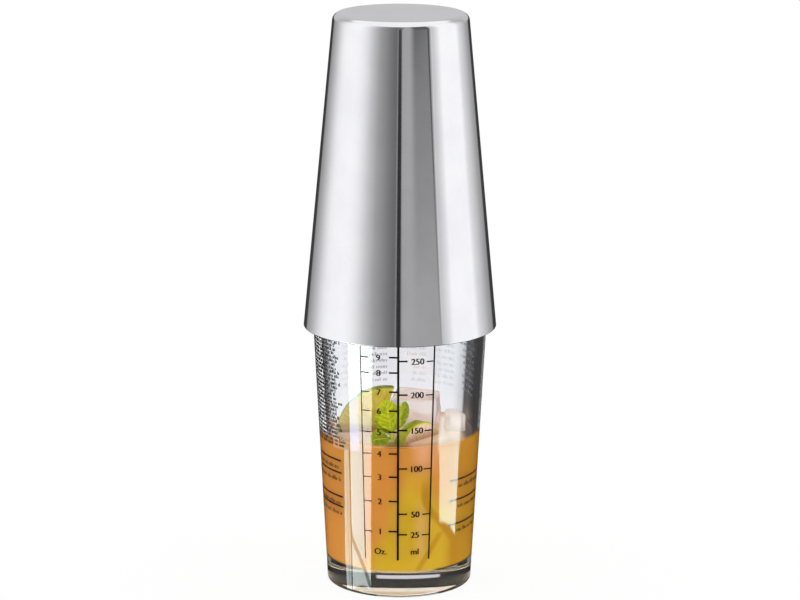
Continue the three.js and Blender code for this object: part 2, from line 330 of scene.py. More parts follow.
class ShakerLimeSettings(bpy.types.PropertyGroup):
    """Lime slices"""
    half_radius: length("Half slice radius", "Outer radius of the half slice", 20.6)
    wheel_radius: length("Wheel radius", "Outer radius of the wheel", 13.5)
    wheel_thickness: length("Wheel thickness", "Thickness of the wheel", 5)
    rind: length("Rind", "Thickness of the green rind", 0.5)
    pith: length("Pith", "Thickness of the pale pith", 0.45)
    membrane: length("Membrane", "Thickness between two segments", 0.5)
    segments: bpy.props.IntProperty(
        name="Segments", description="Number of flesh segments", default=10, min=3)
    rind_colour: tint("Rind colour", "Green rind", "b4b63c")
    pith_colour: tint("Pith colour", "Pale pith and membranes", "dccf62")
    flesh_colour: tint("Flesh colour", "Juicy flesh", "e6cf5c")
    flesh_deep: tint("Flesh deep colour", "Deep places between the vesicles", "cfb53e")
    wheel_flesh: tint("Wheel flesh colour", "Paler flesh of the wheel", "ecdfd0")
    wheel_deep: tint("Wheel flesh deep colour", "Deep places in the wheel's flesh", "e0caae")
    # The soaked colours are also painted shade near the drink.
    soaked: tint("Soaked colour", "Flesh near the drink", "9c6626")
    soaked_rind: tint("Soaked rind colour", "Rind near the drink", "6e5a08")


class ShakerMintSettings(bpy.types.PropertyGroup):
    """Mint sprig"""
    stem_radius: length("Stem radius", "Radius of the stem", 1)
    leaf_thickness: length("Leaf thickness", "Thickness of a leaf", 0.4)
    stalk: length("Stalk", "Length of a leaf's stalk", 2)
    quilt: length("Quilt", "Height of the puffed leaf between veins", 0.7)
    leaf_colour: tint("Leaf colour", "Fresh leaf", "c6cb14")
    # Painted shade of the leaves, in patches, veins and folds.
    leaf_dark: tint("Leaf dark colour", "Leaf in its folds", "7d8c06")
    vein_colour: tint("Vein colour", "Pale midrib and veins", "dde048")
    stem_colour: tint("Stem colour", "Stem", "d3cc4a")


class ShakerScaleSettings(bpy.types.PropertyGroup):
    """Measuring scale printed on the glass"""
    ink_height: length("Ink height", "How far the print stands on the glass", 0.035)
    centre_width: length("Centre line", "Width of the centre line", 0.95)
    right_width: length("Right line", "Width of the right line", 0.7)
    left_width: length("Left line", "Width of the left line", 0.42)
    tick_length: length("Tick length", "Length of a mark", 3.4)
    drop: length("Drop", "How far the outer marks and the numbers sit below the centre marks", 0.4)
    digit_size: length("Digit size", "Size of the numbers", 3.7)
    boldness: length("Boldness", "How far the numbers are widened to each side", 0.13)
    ink: tint("Ink", "Printed marks", "14100e")
    thin_ink: tint("Thin ink", "Worn rows on the far side", "9a9a9e")


# Shader expressions

def math_operators(operation):
    """A Math node as a Python operator, and as its reflected form."""
    def forward(self, other):
        return self.shader.math(operation, self, other)

    def reflected(self, other):
        return self.shader.math(operation, other, self)

    return forward, reflected


class Link:
    """An output socket that takes part in Python arithmetic, by adding Math nodes"""
    __add__, __radd__ = math_operators("ADD")
    __sub__, __rsub__ = math_operators("SUBTRACT")
    __mul__, __rmul__ = math_operators("MULTIPLY")
    __truediv__, __rtruediv__ = math_operators("DIVIDE")

    def __init__(self, shader, socket):
        self.shader = shader
        self.socket = socket

    def __neg__(self):
        return self * -1.0

    def __abs__(self):
        return self.shader.math("ABSOLUTE", self)


class Shader:
    """The node tree of a material or a world"""

    def __init__(self, owner):
        owner.use_nodes = True
        self.owner = owner
        self.tree = owner.node_tree
        self.tree.nodes.clear()

    def node(self, kind, settings, sockets, output=0):
        """Add a node: first its settings, then the values or links of its sockets."""
        made = self.tree.nodes.new(kind)
        for name, value in settings.items():
            if name == "stops":
                self.set_stops(made.color_ramp, value)
            else:
                setattr(made, name, value)
        for name, value in sockets.items():
            if isinstance(value, Link):
                self.tree.links.new(value.socket, made.inputs[name])
            else:
                made.inputs[name].default_value = value
        return Link(self, made.outputs[output]) if made.outputs else None

    @staticmethod
    def set_stops(ramp, stops):
        """Fill a ramp with (position, colour) stops."""
        while len(ramp.elements) < len(stops):
            ramp.elements.new(1.0)
        for element, (position, colour) in zip(ramp.elements, stops):
            element.position = position
            element.color = colour

    def math(self, operation, *values):
        """A Math node."""
        return self.node("ShaderNodeMath", {"operation": operation}, dict(enumerate(values)))

    def grow(self, value, low, high):
        """0 below low, 1 above high and a smooth step between them."""
        return self.node("ShaderNodeMapRange", {"interpolation_type": "SMOOTHSTEP"},
                         {"Value": value, "From Min": low, "From Max": high})

    def band(self, value, low, high, edge):
        """1 from low to high, with soft edges, and 0 outside."""
        return self.grow(value, low - edge, low + edge) * (1 - self.grow(value, high - edge, high + edge))

    @staticmethod
    def fade(value, part, other):
        """A value that gives way to another by a share."""
        return value * (1 - part) + part * other

    def blend(self, factor, first, second):
        """Mix two colours."""
        return self.node("ShaderNodeMix", {"data_type": "RGBA"}, {0: factor, 6: first, 7: second}, 2)

    def layers(self, colour, *layers):
        """Lay colours over a first one, each by its share."""
        for part, over in layers:
            colour = self.blend(part, colour, over)
        return colour

    def place(self, centre=(0, 0, 0), turn=(0, 0, 0), scale=(1, 1, 1)):
        """Object coordinates, in a frame of their own."""
        object_place = self.node("ShaderNodeTexCoord", {}, {}, "Object")
        return self.node("ShaderNodeMapping", {"vector_type": "TEXTURE"},
                         {"Vector": object_place, "Location": centre, "Rotation": turn, "Scale": scale})

    def split(self, vector):
        """The three numbers of a vector."""
        return [self.node("ShaderNodeSeparateXYZ", {}, {0: vector}, axis) for axis in range(3)]

    def millimetres(self):
        """The three object coordinates, in millimetres."""
        return [axis / MM for axis in self.split(self.place())]

    def noise(self, size, detail=2.0, roughness=0.5, scale=(1, 1, 1)):
        """Soft noise from 0 to 1."""
        return self.node("ShaderNodeTexNoise", {}, {
            "Vector": self.place(scale=scale),
            "Scale": size,
            "Detail": detail,
            "Roughness": roughness,
        }, "Fac")

    def cells(self, feature, place, size, **more):
        """Distances in a pattern of cells."""
        return self.node("ShaderNodeTexVoronoi", {"feature": feature},
                         {"Vector": place, "Scale": size, **more}, "Distance")

    def bump(self, height, depth, strength=1.0):
        """A normal bent by a height from 0 to 1, over a depth in millimetres."""
        return self.node("ShaderNodeBump", {},
                         {"Height": height, "Distance": depth * MM, "Strength": strength}, "Normal")

    def surface(self, sockets):
        """End the tree in a Principled shader, and hand over its material."""
        return self.output(self.node("ShaderNodeBsdfPrincipled", {}, sockets))

    def output(self, shading):
        """End the tree in a material's output, and hand over the material."""
        self.node("ShaderNodeOutputMaterial", {}, {"Surface": shading})
        return self.owner


def new_material(name):
    """The shader of an empty material."""
    return Shader(bpy.data.materials.new(name))


def soft(weight, radius, depth):
    """Sockets for light that spreads under a soft surface, to a depth in millimetres."""
    return {"Subsurface Weight": weight, "Subsurface Radius": radius, "Subsurface Scale": depth * MM}


# Modelling helpers

def new_piece(name, add, **sizes):
    """Add a primitive as the start of a piece, and apply its place."""
    bpy.ops.object.select_all(action="DESELECT")
    add(**sizes)
    piece = bpy.context.object
    piece.name = name
    piece.data.name = name
    apply_place(piece)
    return piece


def choose(piece):
    """Make a piece the only selected and the active object."""
    bpy.ops.object.select_all(action="DESELECT")
    piece.select_set(True)
    bpy.context.view_layer.objects.active = piece


def apply_place(piece):
    """Put a piece's place, turn and scale into its mesh."""
    choose(piece)
    bpy.ops.object.transform_apply(location=True, rotation=True, scale=True)


@contextmanager
def editing(piece):
    """Keep a piece in edit mode, at first with all of it selected."""
    choose(piece)
    bpy.ops.object.mode_set(mode="EDIT")
    bpy.ops.mesh.select_mode(type="VERT")
    bpy.ops.mesh.select_all(action="SELECT")
    yield
    bpy.ops.object.mode_set(mode="OBJECT")


def pick(piece, kind, test):
    """In edit mode, select the vertices, edges or faces that pass a test."""
    bpy.ops.mesh.select_mode(type=kind)
    bpy.ops.mesh.select_all(action="DESELECT")
    mesh = bmesh.from_edit_mesh(piece.data)
    elements = {"VERT": mesh.verts, "EDGE": mesh.edges, "FACE": mesh.faces}[kind]
    for element in elements:
        if test(element):
            element.select_set(True)
    mesh.select_flush_mode()
    bmesh.update_edit_mesh(piece.data)


def close_seams():
    """In edit mode, merge doubled vertices and turn every face outwards."""
    bpy.ops.mesh.select_all(action="SELECT")
    bpy.ops.mesh.remove_doubles(threshold=MERGE_DISTANCE)
    bpy.ops.mesh.normals_make_consistent(inside=False)


def shade_smooth(piece, angle=SMOOTH_ANGLE):
    """Shade a piece smooth, apart from its sharp edges."""
    choose(piece)
    bpy.ops.object.shade_smooth_by_angle(angle=angle)


def finish_with(piece, kind, **settings):
    """Add a modifier and apply it."""
    choose(piece)
    modifier = piece.modifiers.new(kind.title(), kind)
    for name, value in settings.items():
        setattr(modifier, name, value)
    bpy.ops.object.modifier_apply(modifier=modifier.name)


def subdivide_smooth(piece, levels):
    """Round a piece with an applied subdivision surface."""
    finish_with(piece, "SUBSURF", levels=levels, render_levels=levels)


def join_pieces(name, pieces):
    """Join pieces into one of the given name."""
    bpy.ops.object.select_all(action="DESELECT")
    for piece in pieces:
        piece.select_set(True)
    bpy.context.view_layer.objects.active = pieces[0]
    bpy.ops.object.join()
    joined = bpy.context.object
    joined.name = name
    joined.data.name = name
    return joined


def dress(piece, material, slot, body, *nodes):
    """Give a piece its material and its body, and hide the nodes that it stands for. The slot is not
    used.
    """
    piece.data.materials.clear()
    piece.data.materials.append(material)
    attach(piece, body)
    if nodes:
        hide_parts(*nodes)


def fillet_reach(before, corner, after, radius):
    """How far along its edges a corner's fillet reaches."""
    turn = (corner - before).angle(after - corner)
    return radius * math.tan(turn / 2)


def turned(name, corners):
    """Draw an outline of (radius, height, fillet) corners and spin it about the upright axis."""
    places = [Vector((radius, 0, height)) for radius, height, fillet in corners]
    piece = new_piece(name, bpy.ops.mesh.primitive_plane_add, size=MM)
    with editing(piece):
        bpy.ops.mesh.merge(type="CENTER")
        bpy.ops.transform.translate(value=places[0])
        for here, there in zip(places, places[1:]):
            bpy.ops.mesh.extrude_region_move(TRANSFORM_OT_translate={"value": there - here})
        for index, (radius, height, fillet) in enumerate(corners):
            if not fillet:
                continue
            corner = places[index]
            reach = fillet_reach(places[index - 1], corner, places[index + 1], fillet)
            pick(piece, "VERT", lambda vertex: (vertex.co - corner).length < MERGE_DISTANCE)
            bpy.ops.mesh.bevel(offset=reach, offset_type="OFFSET", segments=FILLET_STEPS, profile=0.5,
                               affect="VERTICES", clamp_overlap=False)
        bpy.ops.mesh.select_all(action="SELECT")
        bpy.ops.mesh.spin(steps=TURN_STEPS, angle=math.tau, center=(0, 0, 0), axis=(0, 0, 1))
        close_seams()
    shade_smooth(piece)
    finish_with(piece, "WEIGHTED_NORMAL", keep_sharp=True)
    return piece


# Materials

def clear_glass(settings):
    """Clear pressed glass with a faint ripple and wiped smudges."""
    shader = new_material("clear_glass")
    return shader.surface({
        "Base Color": settings.colour,
        "Roughness": shader.grow(shader.noise(140, 4.0, 0.65), 0.55, 0.8) * 0.012,
        "IOR": 1.5,
        "Transmission Weight": 1.0,
        "Normal": shader.bump(shader.noise(60, 1.0), 0.004),
    })


def polished_steel(settings):
    """Polished stainless steel with fine turning marks and a little handling haze."""
    shader = new_material("polished_steel")
    turning = shader.noise(9, 3.0, 0.6, (1, 1, 0.004))
    haze = shader.noise(45, 4.0, 0.6)
    fine = shader.noise(900, scale=(1, 1, 0.02))
    return shader.surface({
        "Base Color": shader.blend(shader.grow(haze, 0.3, 0.8), settings.colour, linear("dfdfe4")),
        "Metallic": 1.0,
        "Roughness": settings.roughness + shader.grow(haze, 0.35, 0.85) * 0.03 + fine * 0.01,
        "Normal": shader.bump(turning, 0.0012),
    })


def mixed_drink(settings, level, bottom):
    """Cloudy juice: orange above and to the left, yellow below, amber to the right."""
    shader = new_material("mixed_drink")
    grow, band = shader.grow, shader.band
    x, y, z = shader.millimetres()
    above = z - level / MM
    swirl = shader.noise(38) - 0.5
    wisps = shader.noise(95, 3.0, scale=(1, 1, 2.4)) - 0.5
    side = shader.math("MINIMUM", shader.math("MAXIMUM", x / 10, -2.0), 0.3) - 0.4 * grow(x, 11, 16)
    yellow_share = grow(side - above / 24 + swirl * 1.3 + wisps * 0.5, 0.4, 1.35)
    amber_share = grow(x / 20 + swirl * 0.7, 0.85, 1.25)

    def strand(middle, width):
        return 1 - grow(abs(x - middle + wisps), width * 0.3, width)

    # what shows in front: strands, a painted reflection streak, pale juice and haze before the sunken ice
    front = 1 - grow(y, -6, 2)
    low_strand = strand(7.5 + (z - 11.2) * 0.57, 1.9) * (1 - grow(z, 26, 29))
    right_strand = strand(10.6 + 11.5 * (1 - grow(z, 20, 44)), 2.4) * (1 - grow(z, 44, 54))
    left_strand = strand(7 * (1 - grow(z, 13, 34)) - 20.4, 0.7)
    pale = band(x, 7, 11, 2.5) * band(z, 18, 40, 6)
    haze = band(x, 6.5, 15, 4) * grow(above, -16, -3)
    settled = shader.layers(
        settings.settled,
        (grow(y, 12, 18), settings.settled_far),
        # Painted shade towards the edge of the floor.
        (grow(abs(x), 12, 16), settings.settled_edge),
    )
    body = shader.layers(
        settings.orange,
        (yellow_share, settings.yellow),
        (amber_share * 0.85, settings.amber),
        # Painted reflection of the left soft box.
        (band(x, -22.5, -13.5, 1) * front * 0.5, settings.streak),
        (pale * front * 0.35, settings.haze),
        ((low_strand * 0.6 + right_strand * 0.7) * front, settings.amber),
        (left_strand * front * 0.6, settings.amber),
        (haze * front * 0.7, settings.haze),
        (1 - grow(z - bottom / MM, 0.4, 1.6), settled),
    )
    top_share = grow(above, -0.25, -0.2) * (1 - grow(above - grow(y, -14, -6) * 0.6, 0.08, 0.13))
    reach = shader.math("SQRT", x * x + y * y)
    # Painted shadow: the juice's top is darker under the mint.
    mint_shadow_share = band(x, -6, 4, 2) * (1 - grow(y, -24, -17))
    top = shader.layers(
        # The pale top is partly painted light.
        settings.surface,
        (grow(reach, 23, 30) * 0.7, settings.orange),
        (mint_shadow_share * 0.8, settings.shade),
        # Painted shade and dark reflection by the right wall.
        (grow(x, 24.5, 27.5) * 0.85, settings.rim_shade),
    )
    return shader.surface({
        "Base Color": shader.blend(top_share, body, top),
        "Roughness": 0.12 + shader.noise(420, 3.0, 0.6) * 0.08,
        "IOR": 1.34,
        "Specular IOR Level": 0.12,
        "Coat Weight": top_share,
        "Coat Roughness": 0.1,
        "Coat IOR": 1.34,
        "Normal": shader.bump(shader.noise(160), 0.05),
        **soft(0.25, (3.0, 1.6, 0.5), 2),
    })


def clear_ice(settings, level):
    """Clear wet ice with a cloudy core and fine cracks, tinted near the drink."""
    shader = new_material("clear_ice")
    height = shader.millimetres()[2]
    tinted = (1 - shader.grow(height - level / MM, 0, 4)) * 0.35
    frost = shader.grow(shader.noise(170, 4.0, 0.6), 0.6, 0.8) * 0.1
    crack_line = 1 - shader.grow(shader.cells("DISTANCE_TO_EDGE", shader.place(), 160.0), 0.0, 0.03)
    return shader.surface({
        "Base Color": shader.blend(tinted, settings.colour, linear("f0c4a0")),
        # Painted light: the ice glows faintly.
        "Emission Color": settings.colour,
        "Emission Strength": settings.glow,
        "Roughness": 0.02 + frost + crack_line * 0.12,
        "IOR": 1.31,
        "Transmission Weight": settings.clearness,
        "Normal": shader.bump(shader.noise(130, 3.0), 0.2, 0.6),
        **soft(0.5, (1.0, 0.9, 0.85), 6),
    })


def lime_fruit(name, settings, centre, turn, radius, flesh_colour, flesh_deep):
    """Lime: green rind, pale pith and membranes, and flesh of long vesicles, darker near the drink as
    soaking and painted shade.
    """
    shader = new_material(name)
    grow = shader.grow
    x, y, z = shader.split(shader.place(centre, (0, 0, turn)))
    reach = shader.math("SQRT", x * x + z * z)
    angle = shader.math("ARCTAN2", z, x)
    rind_share = grow(reach, radius - settings.rind * 1.15, radius - settings.rind * 0.75)
    pith_edge = radius - settings.rind - settings.pith
    sector = shader.math("FRACT", angle * (settings.segments / math.tau) + 0.5)
    off_wall = abs(sector - 0.5) * reach * (math.tau / settings.segments)
    wall_share = 1 - grow(off_wall, settings.membrane * 0.5, settings.membrane * 1.3)
    core_share = 1 - grow(reach, 0.8 * MM, 1.8 * MM)
    long_place = shader.node("ShaderNodeCombineXYZ", {},
                             {0: angle * 14, 1: reach / (5 * MM), 2: y / (4 * MM)})
    vesicle = shader.cells("SMOOTH_F1", long_place, 1.0, Smoothness=0.6)
    waterline = DRINK_HIGH.z - centre.z
    # Darker near the drink: juice soaking in, and painted shade.
    soak_and_shade = (1 - grow(z, waterline, waterline + 6 * MM)) * 0.75
    flesh = shader.layers(
        flesh_colour,
        (grow(vesicle, 0.2, 0.75), flesh_deep),
        (wall_share * 0.6, settings.pith_colour),
        (core_share * 0.7, settings.pith_colour),
        (grow(reach, pith_edge - 0.5 * MM, pith_edge + 0.2 * MM), settings.pith_colour),
        (soak_and_shade, settings.soaked),
    )
    skin = shader.layers(
        settings.rind_colour,
        (grow(shader.noise(260, 3.0), 0.4, 0.7), linear("8f9a1e")),
        (soak_and_shade * 0.8, settings.soaked_rind),
    )
    pores = shader.cells("F1", shader.place(), 900.0)
    relief = rind_share * grow(pores, 0.1, 0.5) * 0.5 + (1 - rind_share) * (1 - vesicle)
    return shader.surface({
        "Base Color": shader.blend(rind_share, flesh, skin),
        "Roughness": 0.28 + rind_share * 0.12,
        "IOR": 1.4,
        "Specular IOR Level": 0.2,
        "Normal": shader.bump(relief, 0.15),
        **soft(0.35, (1.0, 1.0, 0.3), 2),
    })


def mint_leaf(settings):
    """Mint leaf by the leaf's own map: a pale midrib and pale mottle, with painted shade in the veins, in
    patches, and on the leaves to the right and low by the drink.
    """
    shader = new_material("mint_leaf")
    grow = shader.grow
    u, v = shader.split(shader.node("ShaderNodeTexCoord", {}, {}, "UV"))[:2]
    across = abs(u - 0.5) * 2
    veins = shader.math("COSINE", (v * LEAF_VEINS - across * LEAF_VEIN_RISE) * math.tau) * 0.5 + 0.5
    vein_share = grow(veins, 0.86, 0.99) * (1 - across * 0.6)
    midrib_share = 1 - grow(across, 0.03, 0.11)
    mottle = shader.noise(700, 3.0)
    x, y, z = shader.millimetres()
    # Painted light and shade: lit in patches, and shaded on the leaves to the right and low by the drink.
    lit = grow(shader.noise(300, 1.0), 0.25, 0.6) * 0.7 + 0.3
    lit = lit * (1 - 0.8 * grow(x, 0, 1.5)) * (1 - 0.8 * (1 - grow(z, 70, 72.5)))
    blade = shader.layers(
        settings.leaf_dark,
        (lit, settings.leaf_colour),
        (grow(mottle, 0.45, 0.75) * 0.35, settings.vein_colour),
        # Painted shade in the sunken veins.
        (vein_share * 0.7, settings.leaf_dark),
        (midrib_share * 0.6, settings.vein_colour),
    )
    return shader.surface({
        "Base Color": blade,
        "Roughness": 0.38 + mottle * 0.15,
        "Specular IOR Level": 0.15,
        "Normal": shader.bump(mottle - vein_share * 0.6, 0.3),
        **soft(0.2, (0.6, 1.0, 0.2), 1),
    })


def mint_stalk(settings):
    """Mint stem: pale green with lengthwise ridges."""
    shader = new_material("mint_stem")
    ridge = shader.noise(1400, scale=(1, 1, 9))
    return shader.surface({
        "Base Color": shader.blend(ridge, settings.stem_colour, settings.leaf_colour),
        "Roughness": 0.32 + ridge * 0.15,
        "Normal": shader.bump(ridge, 0.08),
        **soft(0.2, (1.0, 1.0, 0.3), 1),
    })


def screen_ink(settings):
    """Baked screen-print ink, a little thin in places."""
    shader = new_material("screen_ink")
    thin = shader.noise(1600, 3.0)
    return shader.surface({
        "Base Color": shader.blend(shader.grow(thin, 0.5, 0.8), settings.ink, linear("2a2220")),
        "Roughness": 0.4 + thin * 0.2,
        "Specular IOR Level": 0.2,
    })


def thin_ink(settings):
    """Worn print on the far side, thinner than the scale's."""
    shader = new_material("thin_ink")
    worn = shader.noise(900, 3.0)
    return shader.surface({
        "Base Color": shader.blend(shader.grow(worn, 0.35, 0.7), settings.thin_ink, linear("c4c4c8")),
        "Roughness": 0.4 + worn * 0.2,
    })


def pale_floor(settings):
    """Pale floor: white to the camera, and darker only where the object keeps the light away."""
    shader = new_material("pale_floor")
    camera_ray = shader.node("ShaderNodeLightPath", {}, {}, "Is Camera Ray")
    paint = shader.blend(shader.noise(6) * 0.3, settings.floor_colour, linear("f2f2f2"))
    matt = shader.node("ShaderNodeBsdfDiffuse", {}, {"Color": paint})
    glow = shader.node("ShaderNodeEmission", {}, {"Color": linear("ffffff"), "Strength": 1.02})
    return shader.output(shader.node("ShaderNodeMixShader", {},
                                     {0: camera_ray * settings.floor_glow, 1: matt, 2: glow}))


# Studio. Angles are in degrees: the azimuth, the angle from straight behind, and the rise.

def reflected_walls(shader, azimuth, rise):
    """What polished surfaces reflect: walls with a stand, a flag and a seam, and a ceiling."""
    grow, band, fade = shader.grow, shader.band, shader.fade
    stops = [((degrees + 180) / 360, (level, level, level, 1)) for degrees, level in STUDIO_STOPS]
    walls = shader.node("ShaderNodeValToRGB", {"stops": stops}, {0: (azimuth + 180) / 360})
    walls = shader.node("ShaderNodeSeparateColor", {}, {0: walls})
    stand = azimuth - rise * 0.17
    walls = walls + band(stand, -5.4, -4.2, 0.3) * 0.14
    walls = walls * (1 - band(stand, -3.8, 1.3, 0.4) * (0.8 - 0.4 * grow(rise, 0.5, 4)))
    flag = grow(azimuth, 13, 24) * (1 - grow(azimuth, 46, 50))
    walls = walls * (1 - flag * (0.36 * grow(rise, -4, 0.5) + 0.34 * grow(rise, 0.5, 2.3)))
    seam = azimuth + rise * 0.85
    walls = walls * (1 - band(seam, 45.4, 47.4, 0.6) * (0.45 + 0.3 * grow(rise, -3, 0)))
    back_wall = grow(abs(azimuth), 120, 150) * grow(rise, 2, 6)
    back_wall = shader.math("MAXIMUM", back_wall, grow(abs(azimuth), 172, 175))
    walls = fade(walls, back_wall, 0.62) * (0.12 + 0.88 * grow(rise, -16, -14.2))
    return fade(walls, grow(rise, 38, 48), 1.12)


def low_boxes(shader, azimuth, rise):
    """Red, green and blue that the low soft boxes add to what the glass reflects."""
    grow, band = shader.grow, shader.band
    low = 1 - grow(rise, -16, -15)
    turn = azimuth + 91.4
    above_drink = grow(rise + 20.24 + turn * 0.0405 - turn * turn * 0.0002, -0.03, 0.03)
    above_floor = grow(rise + 23.06 + (azimuth + 81.5) * 0.0288, -0.03, 0.03)

    # at the left, an outer and an inner strip with an upright gap between them
    upright = azimuth + 78 - (rise + 20.75) * 1.8
    thin_line = azimuth + 85.7 - (rise + 20.58) * 0.7
    slant = azimuth + 65 + (rise + 23.04) * 18
    outer = grow(azimuth + 88.8 - (rise + 20.48) * 4.6, -1, 1) * (1 - grow(upright, -2, -1))
    outer = outer * (1 - above_drink) * (0.65 - 0.3 * band(thin_line, -0.6, 0.6, 0.4))
    outer = outer * shader.math("MAXIMUM", grow(azimuth, -95.5, -93.5), grow(rise, -22.15, -22))
    inner = grow(upright, 0.6, 1.6) * (1 - grow(azimuth + 41.5 - (rise + 21.79) * 2.3, -1, 1))
    inner = inner * (1 - above_drink * (1 - grow(azimuth, -77.5, -75.5)))
    inner = inner * (1 - 0.75 * band(slant, -1.5, 1.5, 0.8) * (1 - grow(rise, -22, -21.6)))
    left = low * above_floor * (outer + inner)
    left = left + low * above_drink * band(azimuth, -112, -77, 4) * 0.26
    glare = low * above_drink * band(azimuth, -76.5, -60, 1)
    cool = low * (1 - above_drink) * inner * (1 - grow(azimuth, -60, -56))
    cool = cool * grow(rise + 22.68 + (azimuth + 79.5) * 0.0326, -0.03, 0.05)

    # at the right, one strip below the edge of the drink and a weak veil above it
    tilt = rise - (azimuth - 69) * 0.0366
    below_edge = 1 - grow(tilt, -21.1, -20.9)
    right = grow(azimuth - 60.2 + (rise + 21.28) * 3.6, -1, 1) * (1 - grow(azimuth, 96, 98))
    right = right * below_edge * grow(rise - (azimuth - 69) * 0.029, -22.35, -22.25)
    veil = 0.15 + 0.6 * (1 - grow(tilt, -20.9, -20.3))
    right = right + veil * low * (1 - below_edge) * band(azimuth, 58, 98, 3)

    boxes = ((left, LOW_LEFT_TINT), (right, LOW_RIGHT_TINT), (glare, GLARE_TINT), (cool, COOL_TINT))
    return [sum(box * channels[index] for box, channels in boxes) for index in range(3)]


def seen_through(shader, behind, rise, path):
    """What is seen through the glass: a white room with dark cards, and light that fills the glass."""
    grow, band, fade = shader.grow, shader.band, shader.fade
    bounced = shader.math("GREATER_THAN", path["Glossy Depth"], 0.5)
    right_dark = 0.24 * grow(behind, 5, 7.8) + 0.66 * grow(behind, 8.4, 9.8)
    right_dark = right_dark + 0.09 * grow(behind, 12, 20) - 0.04 * bounced
    left_dark = (0.7 - 0.9 * bounced) * grow(-behind, 8, 20)
    cards = (right_dark + left_dark) * grow(rise, -24, -20)
    corner = abs(shader.math("WRAP", behind, -22.5, 22.5))
    sideways_light = (1 - 0.7 * grow(corner, 8, 18)) * (1 - 0.85 * bounced)
    through = fade(1 - cards, grow(abs(behind), 46, 50), sideways_light)
    foot_only = shader.math("LESS_THAN", path["Transmission Depth"], 2.5)
    through = through * (1 - 0.8 * bounced * (1 - foot_only) * (1 - grow(rise, -2, 0)))
    through = through * (1 - foot_only * band(abs(behind), 42, 62, 2) * 0.97)
    foot_light = 0.03 + 0.66 * band(behind, -24, 12, 1) * (1 - grow(rise, 12.5, 14))
    through = fade(through, foot_only * grow(rise, 0, 1), foot_light)
    lit = shader.math("GREATER_THAN", path["Diffuse Depth"], 0.5)
    inside = INSIDE_LIGHT + (INSIDE_LIGHT_ABOVE - INSIDE_LIGHT) * grow(rise, 6, 24)
    return fade(through, lit, inside)


def studio(scene):
    """A white studio: soft boxes at both sides and above, and darker room between them."""
    scene.world = bpy.data.worlds.new("studio")
    shader = Shader(scene.world)
    x, y, z = shader.split(shader.node("ShaderNodeTexCoord", {}, {}, "Generated"))
    azimuth = shader.math("DEGREES", shader.math("ARCTAN2", x, -y))
    behind = shader.math("DEGREES", shader.math("ARCTAN2", x, y))
    rise = shader.math("DEGREES", shader.math("ARCSINE", z))
    path = {name: shader.node("ShaderNodeLightPath", {}, {}, name) for name in (
        "Is Camera Ray", "Is Transmission Ray", "Diffuse Depth", "Glossy Depth", "Transmission Depth")}
    inner = path["Is Transmission Ray"]
    walls = reflected_walls(shader, azimuth, rise)
    through = seen_through(shader, behind, rise, path)
    value = shader.fade(shader.fade(walls, inner, through), path["Is Camera Ray"], 1)
    channels = [value + (1 - inner) * box for box in low_boxes(shader, azimuth, rise)]
    colour = shader.node("ShaderNodeCombineColor", {}, dict(enumerate(channels)))
    background = shader.node("ShaderNodeBackground", {}, {"Color": colour, "Strength": 1.0})
    shader.node("ShaderNodeOutputWorld", {}, {"Surface": background})


# Pieces

class SHAKER_OT_stage(bpy.types.Operator):
    """Set the camera, the studio and the floor"""
    bl_idname = "shaker.stage"
    bl_label = "Stage"

    def execute(self, context):
        settings = context.scene.shaker_stage
        bpy.ops.object.select_all(action="DESELECT")
        bpy.ops.object.camera_add(location=settings.camera_place)
        camera = context.object
        camera.name = "camera"
        camera.rotation_mode = "ZYX"
        camera.rotation_euler = (math.radians(90) - settings.camera_pitch, 0, settings.camera_roll)
        camera.data.lens = settings.lens
        camera.data.sensor_width = SENSOR_WIDTH
        context.scene.camera = camera
        context.scene.view_settings.view_transform = "Standard"
        studio(context.scene)
        floor = new_piece("floor", bpy.ops.mesh.primitive_plane_add, size=settings.floor_size)
        floor.data.materials.append(pale_floor(settings))
        floor.visible_glossy = False
        floor.visible_transmission = False
        return {"FINISHED"}


def dome(radius, height):
    """Outline corners of a shallow dome, from its top on the axis down to its radius."""
    sphere = (radius ** 2 + height ** 2) / (2 * height)
    reach = math.asin(radius / sphere)
    angles = [reach * step / DOME_STEPS for step in range(DOME_STEPS + 1)]
    return [(sphere * math.sin(angle), height - sphere * (1 - math.cos(angle)), 0) for angle in angles]


class SHAKER_OT_mixing_glass(bpy.types.Operator):
    """Turn the mixing glass with its heavy foot"""
    bl_idname = "shaker.mixing_glass"
    bl_label = "Mixing glass"

    def execute(self, context):
        settings = context.scene.shaker_glass
        height = GLASS_HIGH.z
        ring_inside = GLASS_BASE_RADIUS - settings.heel_fillet - settings.foot_ring
        glass = turned("glass_body", (
            *dome(ring_inside, settings.punt_depth),
            (GLASS_BASE_RADIUS, 0, settings.heel_fillet),
            (GLASS_HIGH.x, height, settings.rim_fillet),
            (GLASS_HIGH.x - settings.wall, height, settings.rim_fillet),
            (glass_radius(settings.floor) - settings.wall, settings.floor, settings.floor_fillet),
            (0, settings.floor, 0),
        ))
        dress(glass, clear_glass(settings), "clear_glass", GLASS_BODY, "mixing_glass")
        return {"FINISHED"}


class SHAKER_OT_tin(bpy.types.Operator):
    """Turn the polished steel tin"""
    bl_idname = "shaker.tin"
    bl_label = "Shaker tin"

    def execute(self, context):
        settings = context.scene.shaker_tin
        mouth = TIN_LOW.z
        top = TIN_HIGH.z
        mouth_radius = TIN_HIGH.x
        inner_top = top - settings.wall
        inner_fillet = settings.shoulder_fillet - settings.wall
        taper = (mouth_radius - settings.top_radius) / (top - mouth)
        inner_radius = settings.top_radius + taper * settings.wall - settings.wall
        tin = turned("tin_shell", (
            (0, inner_top, 0),
            (inner_radius, inner_top, inner_fillet),
            (mouth_radius - settings.wall, mouth, settings.lip_fillet),
            (mouth_radius, mouth, settings.lip_fillet),
            (settings.top_radius, top, settings.shoulder_fillet),
            (0, top, 0),
        ))
        dress(tin, polished_steel(settings), "polished_steel", TIN_BODY, "shaker_tin")
        return {"FINISHED"}


